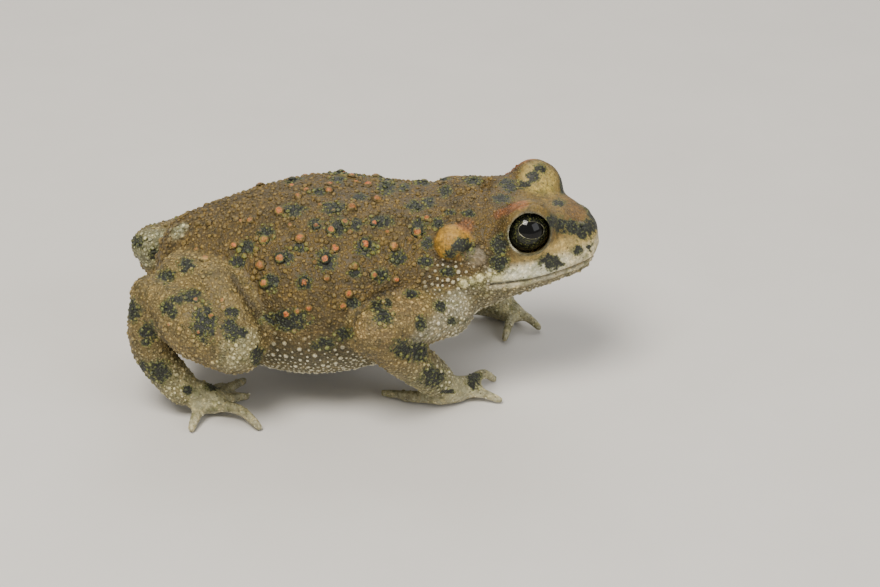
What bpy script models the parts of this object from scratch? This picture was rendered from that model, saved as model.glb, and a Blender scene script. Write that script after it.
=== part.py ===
"""A small green-blotched toad, life size and standing still, as a museum would show it.

The toad faces +X with +Z up, and its right side is towards -Y. Each node of flesh starts as simple
overlapping forms in millimetres, which are fused into one skin, thinned out to few faces and then
trimmed against their neighbours with a thin gap. At the end the nodes are moved so that the origin
lies under the middle of the toad, and are scaled to metres.
"""

import math
import random

import bmesh
import bpy
from mathutils import Matrix, Vector
from mathutils.bvhtree import BVHTree

METRES = 0.001
GAP = 0.3  # between two nodes that touch, in mm

# Sections of the trunk from vent to snout, in mm: place along the body, lowest and highest point,
# half width, height of the widest level, and how square the back and the belly are (1 is round)
TRUNK_SECTIONS = (
    (-24.0, 13.2, 14.4, 0.4, 13.8, 1.00, 1.00),
    (-23.5, 11.0, 16.6, 2.5, 13.8, 1.00, 1.00),
    (-22.5, 8.7, 18.6, 4.3, 13.3, 0.95, 0.95),
    (-21.0, 7.0, 20.0, 6.0, 12.8, 0.92, 0.92),
    (-18.0, 5.2, 21.1, 8.0, 12.3, 0.90, 0.90),
    (-14.0, 4.0, 22.3, 10.3, 12.0, 0.90, 0.90),
    (-9.0, 3.2, 23.6, 12.6, 11.5, 0.90, 0.90),
    (-4.0, 2.9, 24.2, 13.5, 11.8, 0.90, 0.94),
    (1.0, 3.1, 23.8, 12.8, 12.5, 0.88, 1.04),
    (5.0, 4.2, 23.4, 11.2, 13.2, 0.86, 1.08),
    (9.0, 6.3, 23.5, 9.8, 14.2, 0.84, 1.00),
    (12.0, 8.7, 24.1, 8.9, 15.2, 0.80, 0.92),
    (14.0, 10.4, 24.5, 8.5, 16.0, 0.76, 0.90),
    (17.0, 12.4, 24.6, 8.4, 16.8, 0.70, 0.90),
    (20.0, 13.8, 23.9, 7.8, 17.2, 0.66, 0.90),
    (23.0, 14.8, 23.2, 6.2, 17.6, 0.64, 0.90),
    (25.0, 15.4, 22.4, 4.9, 17.8, 0.68, 0.90),
    (26.5, 16.0, 21.5, 3.7, 18.1, 0.76, 0.92),
    (27.5, 16.9, 20.6, 2.4, 18.4, 0.90, 0.95),
    (28.0, 18.4, 19.2, 0.4, 18.8, 1.00, 1.00),
)
SECTION_STEPS = 5  # interpolated sections from each of those to the next
SECTION_SIDES = 56
TRUNK_VOXEL = 0.35
LIMB_VOXEL = 0.26

# The head is turned a little to the right, about an upright axis in the neck
NECK_X = 14.4  # the cut between torso and head
TURN_FROM = 6.0
TURN_TO = 17.0
HEAD_TURN = math.radians(-6.5)

EYE_CENTRE = Vector((19.7, 5.2, 22.4))  # of the left eye; the right one is its mirror image
EYE_RADIUS = 2.6
EYE_GAZE = Vector((0.22, 1.0, 0.20))
LID_RADIUS = 3.5
LID_OPENING = 2.35
NOSTRIL = Vector((26.2, 2.5, 20.7))
NOSTRIL_RADII = (0.5, 0.4, 0.4)
MOUTH_FRONT = Vector((27.6, 0.0, 17.9))
MOUTH_SLOPE = 0.11  # the mouth drops this much for each mm backwards
MOUTH_CORNER_X = 15.2
MOUTH_WIDTH = 0.35
MOUTH_DEPTH = 0.7

# The parotoid gland behind each eye, and the small gland at the corner of the mouth
PAROTOID_CENTRE = Vector((10.9, 7.0, 20.7))
PAROTOID_RADII = (2.7, 1.7, 2.5)
PAROTOID_TILT = math.radians(40)
RICTAL_CENTRE = Vector((13.0, 7.6, 16.6))
RICTAL_RADII = (2.0, 1.4, 1.1)

# Joints of the limbs and the tips of fingers and toes, in mm. The right ones have negative Y
ARMS = {
    "right": {
        "shoulder": (9.9, -8.2, 13.0),
        "elbow": (1.9, -13.7, 12.9),
        "forearm_top": (2.9, -13.6, 11.6),
        "wrist": (8.8, -8.6, 3.8),
        "palm": (10.4, -7.3, 1.7),
        "knuckles": (12.9, -5.9, 1.4),
        "fingers": (
            ((12.2, -6.8, 1.3), (14.2, -7.3, 1.2), (16.2, -7.7, 0.5)),
            ((12.6, -5.6, 1.5), (14.2, -4.0, 2.0), (15.6, -2.8, 0.5)),
            ((8.6, -8.2, 1.1), (5.4, -7.4, 1.0), (2.6, -6.1, 0.5)),
            ((9.4, -8.4, 1.1), (7.3, -8.0, 0.9), (5.2, -7.4, 0.5)),
        ),
    },
    "left": {
        "shoulder": (9.5, 8.2, 12.6),
        "elbow": (6.6, 14.0, 10.2),
        "forearm_top": (6.8, 14.2, 9.2),
        "wrist": (15.6, 13.0, 3.8),
        "palm": (17.2, 12.8, 1.7),
        "knuckles": (18.4, 12.0, 1.4),
        "fingers": (
            ((18.0, 11.8, 1.3), (17.7, 9.4, 1.3), (17.1, 7.1, 0.5)),
            ((18.4, 12.0, 1.4), (20.0, 10.9, 1.4), (21.4, 9.9, 0.5)),
            ((16.4, 13.2, 1.2), (15.6, 14.8, 1.0), (14.6, 16.0, 0.5)),
            ((15.8, 13.0, 1.1), (13.4, 13.6, 0.9), (11.4, 13.6, 0.5)),
        ),
    },
}
LEGS = {
    "right": {
        "hip": (-19.6, -6.2, 14.9),
        "mid_thigh": (-15.6, -9.6, 14.6),
        "knee": (-14.0, -13.0, 11.3),
        "mid_shank": (-18.6, -12.0, 13.2),
        "heel": (-23.8, -8.6, 14.9),
        "hock": (-24.0, -9.8, 8.8),
        "sole": (-20.6, -9.8, 3.4),
        "knuckles": (-17.2, -9.8, 1.7),
        "toes": (
            ((-18.2, -10.8, 1.5), (-18.9, -12.6, 1.1), (-19.2, -14.2, 0.5)),
            ((-16.6, -10.6, 1.6), (-13.7, -11.9, 1.6), (-11.5, -13.8, 0.5)),
            ((-16.6, -9.6, 1.5), (-15.0, -8.2, 1.1), (-13.4, -6.8, 0.5)),
            ((-17.2, -9.0, 1.4), (-15.6, -6.0, 1.1), (-14.0, -3.2, 0.5)),
            ((-18.4, -8.8, 1.4), (-17.6, -6.4, 1.0), (-16.6, -4.4, 0.5)),
        ),
    },
    "left": {
        "hip": (-19.6, 6.2, 13.8),
        "mid_thigh": (-15.8, 9.6, 13.2),
        "knee": (-12.9, 13.4, 11.8),
        "mid_shank": (-19.4, 11.8, 11.4),
        "heel": (-25.8, 9.2, 12.2),
        "hock": (-23.4, 9.8, 7.8),
        "sole": (-20.2, 10.2, 3.4),
        "knuckles": (-17.0, 10.4, 1.7),
        "toes": (
            ((-18.0, 11.4, 1.5), (-18.7, 13.2, 1.1), (-19.0, 14.8, 0.5)),
            ((-16.4, 11.2, 1.6), (-13.5, 12.5, 1.6), (-11.3, 14.4, 0.5)),
            ((-16.4, 10.2, 1.5), (-14.8, 8.8, 1.1), (-13.2, 7.4, 0.5)),
            ((-17.0, 9.6, 1.4), (-15.4, 6.6, 1.1), (-13.8, 3.8, 0.5)),
            ((-18.2, 9.4, 1.4), (-17.4, 7.0, 1.0), (-16.4, 5.0, 0.5)),
        ),
    },
}
UPPER_ARM_RADII = (3.4, 3.4, 3.2)
FOREARM_RADII = (2.6, 2.6, 2.2)
HAND_RADII = (2.0, 1.9, 1.4)
FINGER_RADII = (0.95, 0.72, 0.62)
THIGH_RADII = (4.1, 4.2, 3.6)
SHANK_RADII = (3.9, 4.1, 2.4)
TARSUS_RADII = (2.4, 2.3, 2.2)
FOOT_RADII = (2.0, 1.8)
TOE_RADII = (0.95, 0.76, 0.64)

# The camera's place and aim for the photograph, in mm, and its focal length in pixels. The large
# warts are placed by their pixels there, and mirrored to the side that it doesn't show.
VIEWPOINT = Vector((9.2, -253.9, 145.5))
VIEW_TARGET = Vector((9.2, 0.0, 10.5))
VIEW_FOCAL = 2444.4
VIEW_CENTRE = (440.0, 293.5)
LARGE_WART_PIXELS = (
    (331, 230), (417, 232), (374, 223), (365, 244), (335, 248), (325, 259), (355, 266), (327, 278),
    (304, 282), (264, 283), (280, 258), (260, 265), (234, 245), (264, 240), (349, 294), (343, 306),
    (309, 308), (286, 314), (374, 275), (396, 279), (394, 246), (352, 207), (316, 226), (205, 259),
    (279, 211), (329, 190), (250, 220), (377, 199), (427, 218), (300, 238), (345, 222), (298, 196),
)
LARGE_WART_RADIUS = 0.62
SMALL_WART_RADIUS = 0.46
WART_HEIGHT = 0.62  # of a wart, in parts of its radius
WART_SUNK = 0.25  # how deep its middle lies, in parts of its radius
WART_SIDES = 6
WART_CLEARANCE = 0.45  # from a wart to the next node
SMALL_WARTS = {"torso": 80, "head": 12, "thigh": 7, "shank": 9, "upper_arm": 6, "forearm": 3}
SMALL_WART_SPACING = 1.9

# About how many triangles each node is thinned out to, before it is trimmed
TORSO_TRIANGLES = 1600
HEAD_TRIANGLES = 1600
SEGMENT_TRIANGLES = 200  # a length of arm or leg
HAND_TRIANGLES = 560
FOOT_TRIANGLES = 640
PAROTOID_TRIANGLES = 160

# Colour, roughness
FINISHES = {
    "back": ((0.300, 0.220, 0.130, 1.0), 0.75),
    "head": ((0.360, 0.250, 0.160, 1.0), 0.70),
    "gland": ((0.480, 0.270, 0.110, 1.0), 0.70),
    "limb": ((0.330, 0.290, 0.190, 1.0), 0.75),
    "foot": ((0.460, 0.440, 0.330, 1.0), 0.65),
    "eye": ((0.012, 0.012, 0.010, 1.0), 0.08),
}


def add_object(name, mesh):
    """Links a new object with this data into the scene."""
    made = bpy.data.objects.new(name, mesh)
    bpy.context.scene.collection.objects.link(made)
    return made


def mesh_object(name, shape):
    """Turns a bmesh into a linked object."""
    mesh = bpy.data.meshes.new(name)
    shape.to_mesh(mesh)
    shape.free()
    return add_object(name, mesh)


def evaluated_mesh(made):
    """The object's surface with its modifiers, as a mesh of its own."""
    bpy.context.view_layer.update()
    graph = bpy.context.evaluated_depsgraph_get()
    return bpy.data.meshes.new_from_object(made.evaluated_get(graph))


def apply_modifiers(made):
    """Puts the result of the modifiers into the object's mesh and removes them."""
    mesh = evaluated_mesh(made)
    made.modifiers.clear()
    made.data = mesh
    return made


def remove(made):
    bpy.data.objects.remove(made, do_unlink=True)


def duplicate(made, name):
    return add_object(name, made.data.copy())


def edit(made, change):
    """Runs a change on the object's mesh as a bmesh."""
    shape = bmesh.new()
    shape.from_mesh(made.data)
    change(shape)
    shape.to_mesh(made.data)
    shape.free()
    return made


def on_side(place, side):
    """A place given for the left side, moved to the side that is wanted: 1 is left, -1 right."""
    return Vector((place[0], side * place[1], place[2]))


def catmull_rom(rows, steps):
    """Rows of numbers, with smooth rows interpolated between each pair of them."""
    ends = [rows[0], *rows, rows[-1]]
    smooth = []
    for a_row, b_row, c_row, d_row in zip(ends, ends[1:], ends[2:], ends[3:], strict=False):
        for step in range(steps):
            t = step / steps
            smooth.append(
                [
                    0.5 * (2 * b + (c - a) * t + (2 * a - 5 * b + 4 * c - d) * t**2)
                    + 0.5 * (3 * b - a - 3 * c + d) * t**3
                    for a, b, c, d in zip(a_row, b_row, c_row, d_row, strict=True)
                ]
            )
    smooth.append(list(rows[-1]))
    return smooth


def signed_power(value, exponent):
    return math.copysign(abs(value) ** exponent, value)


def trunk_form():
    """Head and torso as one loft through the sections."""
    shape = bmesh.new()
    rings = []
    for x, low, high, half, level, back, belly in catmull_rom(TRUNK_SECTIONS, SECTION_STEPS):
        ring = []
        for side in range(SECTION_SIDES):
            angle = 2 * math.pi * side / SECTION_SIDES
            up, out = math.cos(angle), math.sin(angle)
            square = back if up > 0 else belly
            reach = high - level if up > 0 else level - low
            y = half * signed_power(out, square)
            ring.append(shape.verts.new((x, y, level + reach * signed_power(up, square))))
        rings.append(ring)
    for first, second in zip(rings, rings[1:], strict=False):
        for side in range(SECTION_SIDES):
            after = (side + 1) % SECTION_SIDES
            shape.faces.new((first[side], second[side], second[after], first[after]))
    shape.faces.new(rings[0])
    shape.faces.new(reversed(rings[-1]))
    bmesh.ops.recalc_face_normals(shape, faces=shape.faces)
    return mesh_object("trunk_form", shape)


def ball(centre, radii, turn=None):
    """An ellipsoid. Its radii are along X, Y and Z before it is turned."""
    shape = bmesh.new()
    turn = turn or Matrix.Identity(4)
    place = Matrix.Translation(Vector(centre)) @ turn @ Matrix.Diagonal((*radii, 1.0))
    bmesh.ops.create_uvsphere(shape, u_segments=20, v_segments=12, radius=1.0, matrix=place)
    return mesh_object("ball", shape)


def rod(points, radii):
    """A round limb that follows the points and takes each one's radius, with round ends."""
    rows = [(*point, radius) for point, radius in zip(points, radii, strict=True)]
    smooth = catmull_rom(rows, 6)
    curve = bpy.data.curves.new("rod", "CURVE")
    curve.dimensions = "3D"
    curve.bevel_depth = 1.0
    curve.bevel_resolution = 4
    curve.use_fill_caps = True
    spline = curve.splines.new("POLY")
    spline.points.add(len(smooth) - 1)
    for point, (x, y, z, radius) in zip(spline.points, smooth, strict=True):
        point.co = (x, y, z, 1.0)
        point.radius = radius
    made = add_object("rod", curve)
    mesh = evaluated_mesh(made)
    remove(made)
    tube = add_object("rod", mesh)
    edit(tube, lambda shape: bmesh.ops.remove_doubles(shape, verts=shape.verts, dist=1e-4))
    return [tube, ball(points[0], [radii[0]] * 3), ball(points[-1], [radii[-1]] * 3)]


def fuse(name, forms, voxel, smoothing):
    """Melts overlapping closed forms into one skin and smooths it."""
    shape = bmesh.new()
    for form in forms:
        shape.from_mesh(form.data)
        remove(form)
    made = mesh_object(name, shape)
    melt = made.modifiers.new("melt", "REMESH")
    melt.mode = "VOXEL"
    melt.voxel_size = voxel
    relax = made.modifiers.new("relax", "SMOOTH")
    relax.factor = 0.5
    relax.iterations = smoothing
    return apply_modifiers(made)


def thin_out(made, triangles):
    """Reduces the mesh to about that many triangles."""
    split = made.modifiers.new("split", "TRIANGULATE")
    split.min_vertices = 4
    apply_modifiers(made)
    fewer = made.modifiers.new("fewer", "DECIMATE")
    fewer.ratio = min(1.0, triangles / len(made.data.polygons))
    return apply_modifiers(made)


def boolean(made, tool, operation):
    """Cuts the tool from the object or joins it, and removes the tool."""
    cut = made.modifiers.new("cut", "BOOLEAN")
    cut.operation = operation
    cut.object = tool
    cut.solver = "EXACT"
    apply_modifiers(made)
    remove(tool)
    return made


def enclosed_volume(faces):
    """The volume inside a closed group of faces."""
    total = 0.0
    for face in faces:
        first = face.verts[0].co
        for second, third in zip(face.verts[1:], face.verts[2:], strict=False):
            total += first.dot(second.co.cross(third.co)) / 6
    return total


def keep_largest(made):
    """Keeps only the largest closed surface, without the scraps that a cut leaves."""

    def drop_scraps(shape):
        seen, groups = set(), []
        for face in shape.faces:
            if face in seen:
                continue
            seen.add(face)
            group, front = [], [face]
            while front:
                one = front.pop()
                group.append(one)
                for edge in one.edges:
                    for other in edge.link_faces:
                        if other not in seen:
                            seen.add(other)
                            front.append(other)
            groups.append(group)
        groups.sort(key=enclosed_volume)
        scraps = [face for group in groups[:-1] for face in group]
        bmesh.ops.delete(shape, geom=scraps, context="FACES")

    return edit(made, drop_scraps)


def surface(made):
    shape = bmesh.new()
    shape.from_mesh(made.data)
    tree = BVHTree.FromBMesh(shape)
    shape.free()
    return tree


def fattened(made, distance):
    """A copy of the object, grown by the distance along its normals."""

    def grow(shape):
        shape.normal_update()
        for vertex in shape.verts:
            vertex.co += vertex.normal * (distance * vertex.calc_shell_factor())

    return edit(duplicate(made, "tool"), grow)


def trim(made, *neighbours):
    """Cuts the object back from its neighbours, leaving the gap."""
    for neighbour in neighbours:
        boolean(made, fattened(neighbour, GAP), "DIFFERENCE")
    return keep_largest(made)


def cut_flat(made, point, normal):
    """Keeps what lies on the side of the plane that the normal points to, and closes the cut."""

    def cut(shape):
        everything = [*shape.verts, *shape.edges, *shape.faces]
        result = bmesh.ops.bisect_plane(
            shape, geom=everything, plane_co=point, plane_no=normal, clear_inner=True
        )
        rim = [one for one in result["geom_cut"] if isinstance(one, bmesh.types.BMEdge)]
        bmesh.ops.holes_fill(shape, edges=rim, sides=0)
        bmesh.ops.triangulate(shape, faces=shape.faces)

    return edit(made, cut)


def facing(direction):
    """The turn that brings +Z to the direction."""
    return Vector((0, 0, 1)).rotation_difference(direction.normalized()).to_matrix().to_4x4()


def make_trunk():
    """Torso and head before they are parted: the loft with eye mounds and mouth glands on it."""
    forms = [trunk_form()]
    for side in (1, -1):
        forms.append(ball(on_side(EYE_CENTRE, side), [LID_RADIUS] * 3))
        forms.append(ball(on_side(RICTAL_CENTRE, side), RICTAL_RADII))
    return fuse("trunk", forms, TRUNK_VOXEL, 4)


def parotoid_form(side, grown=0.0):
    turn = Matrix.Rotation(side * PAROTOID_TILT, 4, "X")
    radii = [radius + grown for radius in PAROTOID_RADII]
    return ball(on_side(PAROTOID_CENTRE, side), radii, turn)


def make_torso(trunk):
    torso = duplicate(trunk, "torso")
    cut_flat(torso, (NECK_X + 1.5, 0, 0), (-1, 0, 0))
    thin_out(torso, TORSO_TRIANGLES)
    cut_flat(torso, (NECK_X - GAP / 2, 0, 0), (-1, 0, 0))
    for side in (1, -1):
        boolean(torso, parotoid_form(side, GAP), "DIFFERENCE")
    return keep_largest(torso)


def mouth_line(trunk):
    """A thin plate along the mouth that reaches a little way into the head."""
    core = fattened(trunk, -MOUTH_DEPTH)
    thin_out(core, TORSO_TRIANGLES)
    length = MOUTH_FRONT.x - MOUTH_CORNER_X + 2.0
    middle = MOUTH_CORNER_X + length / 2
    height = MOUTH_FRONT.z - MOUTH_SLOPE * (MOUTH_FRONT.x - middle)
    shape = bmesh.new()
    bmesh.ops.create_cube(shape, size=1.0)
    turn = Matrix.Rotation(-math.atan(MOUTH_SLOPE), 4, "Y")
    size = Matrix.Diagonal((length, 24.0, MOUTH_WIDTH, 1.0))
    place = Matrix.Translation((middle, 0.0, height))
    bmesh.ops.transform(shape, verts=shape.verts, matrix=place @ turn @ size)
    return boolean(mesh_object("mouth_line", shape), core, "DIFFERENCE")


def make_head(trunk):
    head = duplicate(trunk, "head")
    cut_flat(head, (NECK_X - 1.5, 0, 0), (1, 0, 0))
    thin_out(head, HEAD_TRIANGLES)
    cut_flat(head, (NECK_X + GAP / 2, 0, 0), (1, 0, 0))
    boolean(head, mouth_line(trunk), "DIFFERENCE")
    for side in (1, -1):
        eye, gaze = on_side(EYE_CENTRE, side), on_side(EYE_GAZE, side).normalized()
        boolean(head, ball(eye, [EYE_RADIUS + GAP] * 3), "DIFFERENCE")
        shape = bmesh.new()
        bmesh.ops.create_cone(
            shape, cap_ends=True, segments=28, radius1=LID_OPENING, radius2=LID_OPENING, depth=4.0
        )
        place = Matrix.Translation(eye + gaze * 3.3) @ facing(gaze)
        bmesh.ops.transform(shape, verts=shape.verts, matrix=place)
        boolean(head, mesh_object("lid_opening", shape), "DIFFERENCE")
        nostril, _, _, _ = surface(head).find_nearest(on_side(NOSTRIL, side))
        boolean(head, ball(nostril, NOSTRIL_RADII), "DIFFERENCE")
    return keep_largest(head)


def make_eye(side, name):
    shape = bmesh.new()
    place = Matrix.Translation(on_side(EYE_CENTRE, side)) @ facing(on_side(EYE_GAZE, side))
    bmesh.ops.create_uvsphere(shape, u_segments=18, v_segments=10, radius=EYE_RADIUS, matrix=place)
    return mesh_object(name, shape)


def make_parotoid(side, name):
    made = fuse(name, [parotoid_form(side)], LIMB_VOXEL, 1)
    return thin_out(made, PAROTOID_TRIANGLES)


def turn_head(made):
    """Turns head and neck about an upright axis, more and more from the shoulders to the head."""
    for vertex in made.data.vertices:
        part = min(1.0, max(0.0, (vertex.co.x - TURN_FROM) / (TURN_TO - TURN_FROM)))
        turn = Matrix.Rotation(HEAD_TURN * part * part * (3 - 2 * part), 3, "Z")
        pivot = Vector((TURN_FROM, 0, 0))
        vertex.co = pivot + turn @ (vertex.co - pivot)
    return made


def segment(name, points, radii, triangles=SEGMENT_TRIANGLES):
    """One length of a limb."""
    made = fuse(name, rod([Vector(point) for point in points], radii), LIMB_VOXEL, 3)
    return thin_out(made, triangles)


def paw(name, palm, palm_radii, digits, digit_radii, triangles):
    """A hand or foot: the palm or sole and its digits as one piece with a flat underside."""
    forms = rod([Vector(point) for point in palm], palm_radii)
    for digit in digits:
        forms.extend(rod([Vector(point) for point in digit], digit_radii))
    made = fuse(name, forms, LIMB_VOXEL, 2)
    thin_out(made, triangles)
    return cut_flat(made, (0, 0, 0), (0, 0, 1))


def make_arm(side, places, torso):
    shoulder, elbow = Vector(places["shoulder"]), Vector(places["elbow"])
    wrist, palm, knuckles = places["wrist"], places["palm"], places["knuckles"]
    upper = segment(f"upper_arm_{side}", (shoulder, (shoulder + elbow) / 2, elbow), UPPER_ARM_RADII)
    top = Vector(places["forearm_top"])
    middle = top * 0.55 + Vector(wrist) * 0.45
    forearm = segment(f"forearm_{side}", (top, middle, wrist), FOREARM_RADII)
    hand = paw(
        f"hand_{side}",
        (wrist, palm, knuckles),
        HAND_RADII,
        places["fingers"],
        FINGER_RADII,
        HAND_TRIANGLES,
    )
    trim(upper, torso)
    trim(forearm, torso, upper)
    trim(hand, forearm)
    return upper, forearm, hand


def make_leg(side, places, torso):
    thigh = segment(
        f"thigh_{side}", [places[name] for name in ("hip", "mid_thigh", "knee")], THIGH_RADII
    )
    shank = segment(
        f"shank_{side}", [places[name] for name in ("knee", "mid_shank", "heel")], SHANK_RADII
    )
    tarsus = segment(
        f"tarsus_{side}", [places[name] for name in ("heel", "hock", "sole")], TARSUS_RADII
    )
    foot = paw(
        f"foot_{side}",
        (places["sole"], places["knuckles"]),
        FOOT_RADII,
        places["toes"],
        TOE_RADII,
        FOOT_TRIANGLES,
    )
    trim(shank, torso)
    trim(thigh, torso, shank)
    trim(tarsus, torso, shank)
    trim(foot, tarsus)
    return thigh, shank, tarsus, foot


def seen_through(pixel, tree):
    """The place and normal on a surface that shows at a pixel of the photograph."""
    forward = (VIEW_TARGET - VIEWPOINT).normalized()
    right = forward.cross(Vector((0, 0, 1))).normalized()
    up = right.cross(forward)
    across, down = pixel[0] - VIEW_CENTRE[0], pixel[1] - VIEW_CENTRE[1]
    ray = (forward * VIEW_FOCAL + right * across - up * down).normalized()
    place, normal, _, _ = tree.ray_cast(VIEWPOINT, ray)
    return place, normal


def large_warts(tree):
    """The large warts: those that the photograph shows, and their mirror images, a little astray."""
    draw = random.Random(5)
    spots = []
    for pixel in LARGE_WART_PIXELS:
        place, normal = seen_through(pixel, tree)
        if place is None:
            continue
        spots.append((place, normal, LARGE_WART_RADIUS * draw.uniform(0.85, 1.15)))
        other = on_side(place, -1) + Vector((draw.uniform(-1.2, 1.2), 0, draw.uniform(-1.0, 1.0)))
        place, normal, _, _ = tree.find_nearest(other)
        spots.append((place, normal, LARGE_WART_RADIUS * draw.uniform(0.85, 1.15)))
    return spots


def small_warts(made, count, taken, draw):
    """Smaller warts spread over what faces up or out, clear of each other."""
    faces = [face for face in made.data.polygons if face.normal.z > -0.25 and face.center.z > 5.0]
    sizes = [face.area for face in faces]
    spots = list(taken)
    for _ in range(count * 12):
        if len(spots) - len(taken) == count:
            break
        face = draw.choices(faces, sizes)[0]
        place = face.center.copy()
        if all((place - other).length > SMALL_WART_SPACING for other, _, _ in spots):
            spots.append((place, face.normal.copy(), SMALL_WART_RADIUS * draw.uniform(0.8, 1.2)))
    return spots[len(taken) :]


def wart(place, normal, radius):
    shape = bmesh.new()
    sunk = place - normal * (radius * WART_SUNK)
    size = Matrix.Diagonal((radius, radius, radius * (WART_HEIGHT + WART_SUNK), 1.0))
    where = Matrix.Translation(sunk) @ facing(normal) @ size
    bmesh.ops.create_uvsphere(
        shape, u_segments=WART_SIDES, v_segments=4, radius=1.0, matrix=where
    )
    return mesh_object("wart", shape)


def add_warts(nodes):
    """Fuses the warts with the nodes that they grow on, clear of the other nodes."""
    trees = {node.name: surface(node) for node in nodes}
    draw = random.Random(11)
    for node in nodes:
        kind = node.name.removesuffix("_left").removesuffix("_right")
        if kind not in SMALL_WARTS:
            continue
        spots = large_warts(trees[node.name]) if kind == "torso" else []
        spots += small_warts(node, SMALL_WARTS[kind], spots, draw)
        others = [tree for name, tree in trees.items() if name != node.name]
        warts = bpy.data.collections.new("warts")
        for place, normal, radius in spots:
            reach = radius + WART_CLEARANCE
            if all(tree.find_nearest(place, reach)[0] is None for tree in others):
                made = wart(place, normal, radius)
                bpy.context.scene.collection.objects.unlink(made)
                warts.objects.link(made)
        joined = node.modifiers.new("warts", "BOOLEAN")
        joined.operation = "UNION"
        joined.operand_type = "COLLECTION"
        joined.collection = warts
        joined.solver = "MANIFOLD"
        apply_modifiers(node)
        keep_largest(node)
        for made in list(warts.objects):
            remove(made)
        bpy.data.collections.remove(warts)


def finish(nodes):
    """Gives each node its finish, and brings the toad over the origin and to metres."""
    for name, (colour, roughness) in FINISHES.items():
        material = bpy.data.materials.new(name)
        material.use_nodes = True
        shader = material.node_tree.nodes["Principled BSDF"]
        shader.inputs["Base Color"].default_value = colour
        shader.inputs["Roughness"].default_value = roughness
        material.diffuse_color = colour
    slots = {"torso": "back", "head": "head", "parotoid": "gland", "eye": "eye"}
    slots.update({"hand": "foot", "foot": "foot"})
    points = [vertex.co for node in nodes for vertex in node.data.vertices]
    lows = [min(point[axis] for point in points) for axis in range(3)]
    highs = [max(point[axis] for point in points) for axis in range(3)]
    middle = Vector(((lows[0] + highs[0]) / 2, (lows[1] + highs[1]) / 2, lows[2]))
    toad = bpy.data.collections.new("toad")
    bpy.context.scene.collection.children.link(toad)
    for node in nodes:
        bpy.context.scene.collection.objects.unlink(node)
        toad.objects.link(node)
        node.data.transform(Matrix.Scale(METRES, 4) @ Matrix.Translation(-middle))
        node.data.materials.clear()
        finish_name = slots.get(node.name.split("_")[0], "limb")
        node.data.materials.append(bpy.data.materials[finish_name])
        node.data.shade_smooth()
        node.data.set_sharp_from_angle(angle=math.radians(40))


def main():
    for made in list(bpy.data.objects):
        remove(made)
    trunk = make_trunk()
    torso, head = make_torso(trunk), make_head(trunk)
    remove(trunk)
    nodes = [torso, head]
    for side, word in ((1, "left"), (-1, "right")):
        nodes.append(make_eye(side, f"eye_{word}"))
        nodes.append(make_parotoid(side, f"parotoid_{word}"))
    for node in nodes:
        turn_head(node)
    for word in ("right", "left"):
        nodes.extend(make_arm(word, ARMS[word], torso))
        nodes.extend(make_leg(word, LEGS[word], torso))
    add_warts(nodes)
    finish(nodes)


main()
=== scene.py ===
"""The looks of a small green-blotched toad, sitting on all fours with its head raised.

One skin is cast over the solids of flesh and carries the markings as attributes. Warts and granules
are small domes set on that skin, with the same markings, and the eyes are pieces of their own.
"""

import math
import random

import bmesh
import bpy
import numpy as np
from mathutils import Matrix, Vector
from mathutils.bvhtree import BVHTree
from mathutils.kdtree import KDTree


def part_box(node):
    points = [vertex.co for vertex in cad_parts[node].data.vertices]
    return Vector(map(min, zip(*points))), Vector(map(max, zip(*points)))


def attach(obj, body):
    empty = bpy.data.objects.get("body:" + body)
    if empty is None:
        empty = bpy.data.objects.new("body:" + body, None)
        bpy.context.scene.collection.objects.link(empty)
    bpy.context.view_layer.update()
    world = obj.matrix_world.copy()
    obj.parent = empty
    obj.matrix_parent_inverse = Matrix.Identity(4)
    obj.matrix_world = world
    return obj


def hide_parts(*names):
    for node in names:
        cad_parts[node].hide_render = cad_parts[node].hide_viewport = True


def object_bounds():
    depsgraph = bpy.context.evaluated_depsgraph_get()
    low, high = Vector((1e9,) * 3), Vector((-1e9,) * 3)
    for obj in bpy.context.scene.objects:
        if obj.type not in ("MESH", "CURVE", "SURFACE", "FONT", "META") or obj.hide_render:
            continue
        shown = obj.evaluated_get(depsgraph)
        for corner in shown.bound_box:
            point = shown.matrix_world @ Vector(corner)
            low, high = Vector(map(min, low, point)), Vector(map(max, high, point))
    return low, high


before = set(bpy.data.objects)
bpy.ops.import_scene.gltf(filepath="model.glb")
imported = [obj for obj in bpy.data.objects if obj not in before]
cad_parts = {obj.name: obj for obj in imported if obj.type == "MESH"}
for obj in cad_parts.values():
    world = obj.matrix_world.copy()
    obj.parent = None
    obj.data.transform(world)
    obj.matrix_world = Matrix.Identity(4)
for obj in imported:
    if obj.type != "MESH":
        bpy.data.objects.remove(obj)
cad_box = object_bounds()

MM = 0.001

# The photograph's view: where the camera stands and aims, seen from the middle of the right eye
CAMERA_FROM_EYE = Vector((-9.8, -247.2, 123.1)) * MM
AIM_FROM_EYE = Vector((-9.8, 6.7, -11.9)) * MM
LENS_MM = 100.0
SENSOR_MM = 36.0
PHOTO_WIDTH = 880
PHOTO_HEIGHT = 587
FOCAL_PIXELS = LENS_MM / SENSOR_MM * PHOTO_WIDTH

# The skin
GROW = 0.24 * MM  # closes the gaps between the solids before the skin is cast
SKIN_VOXEL = 0.29 * MM
SKIN_SMOOTHING = 6

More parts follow.
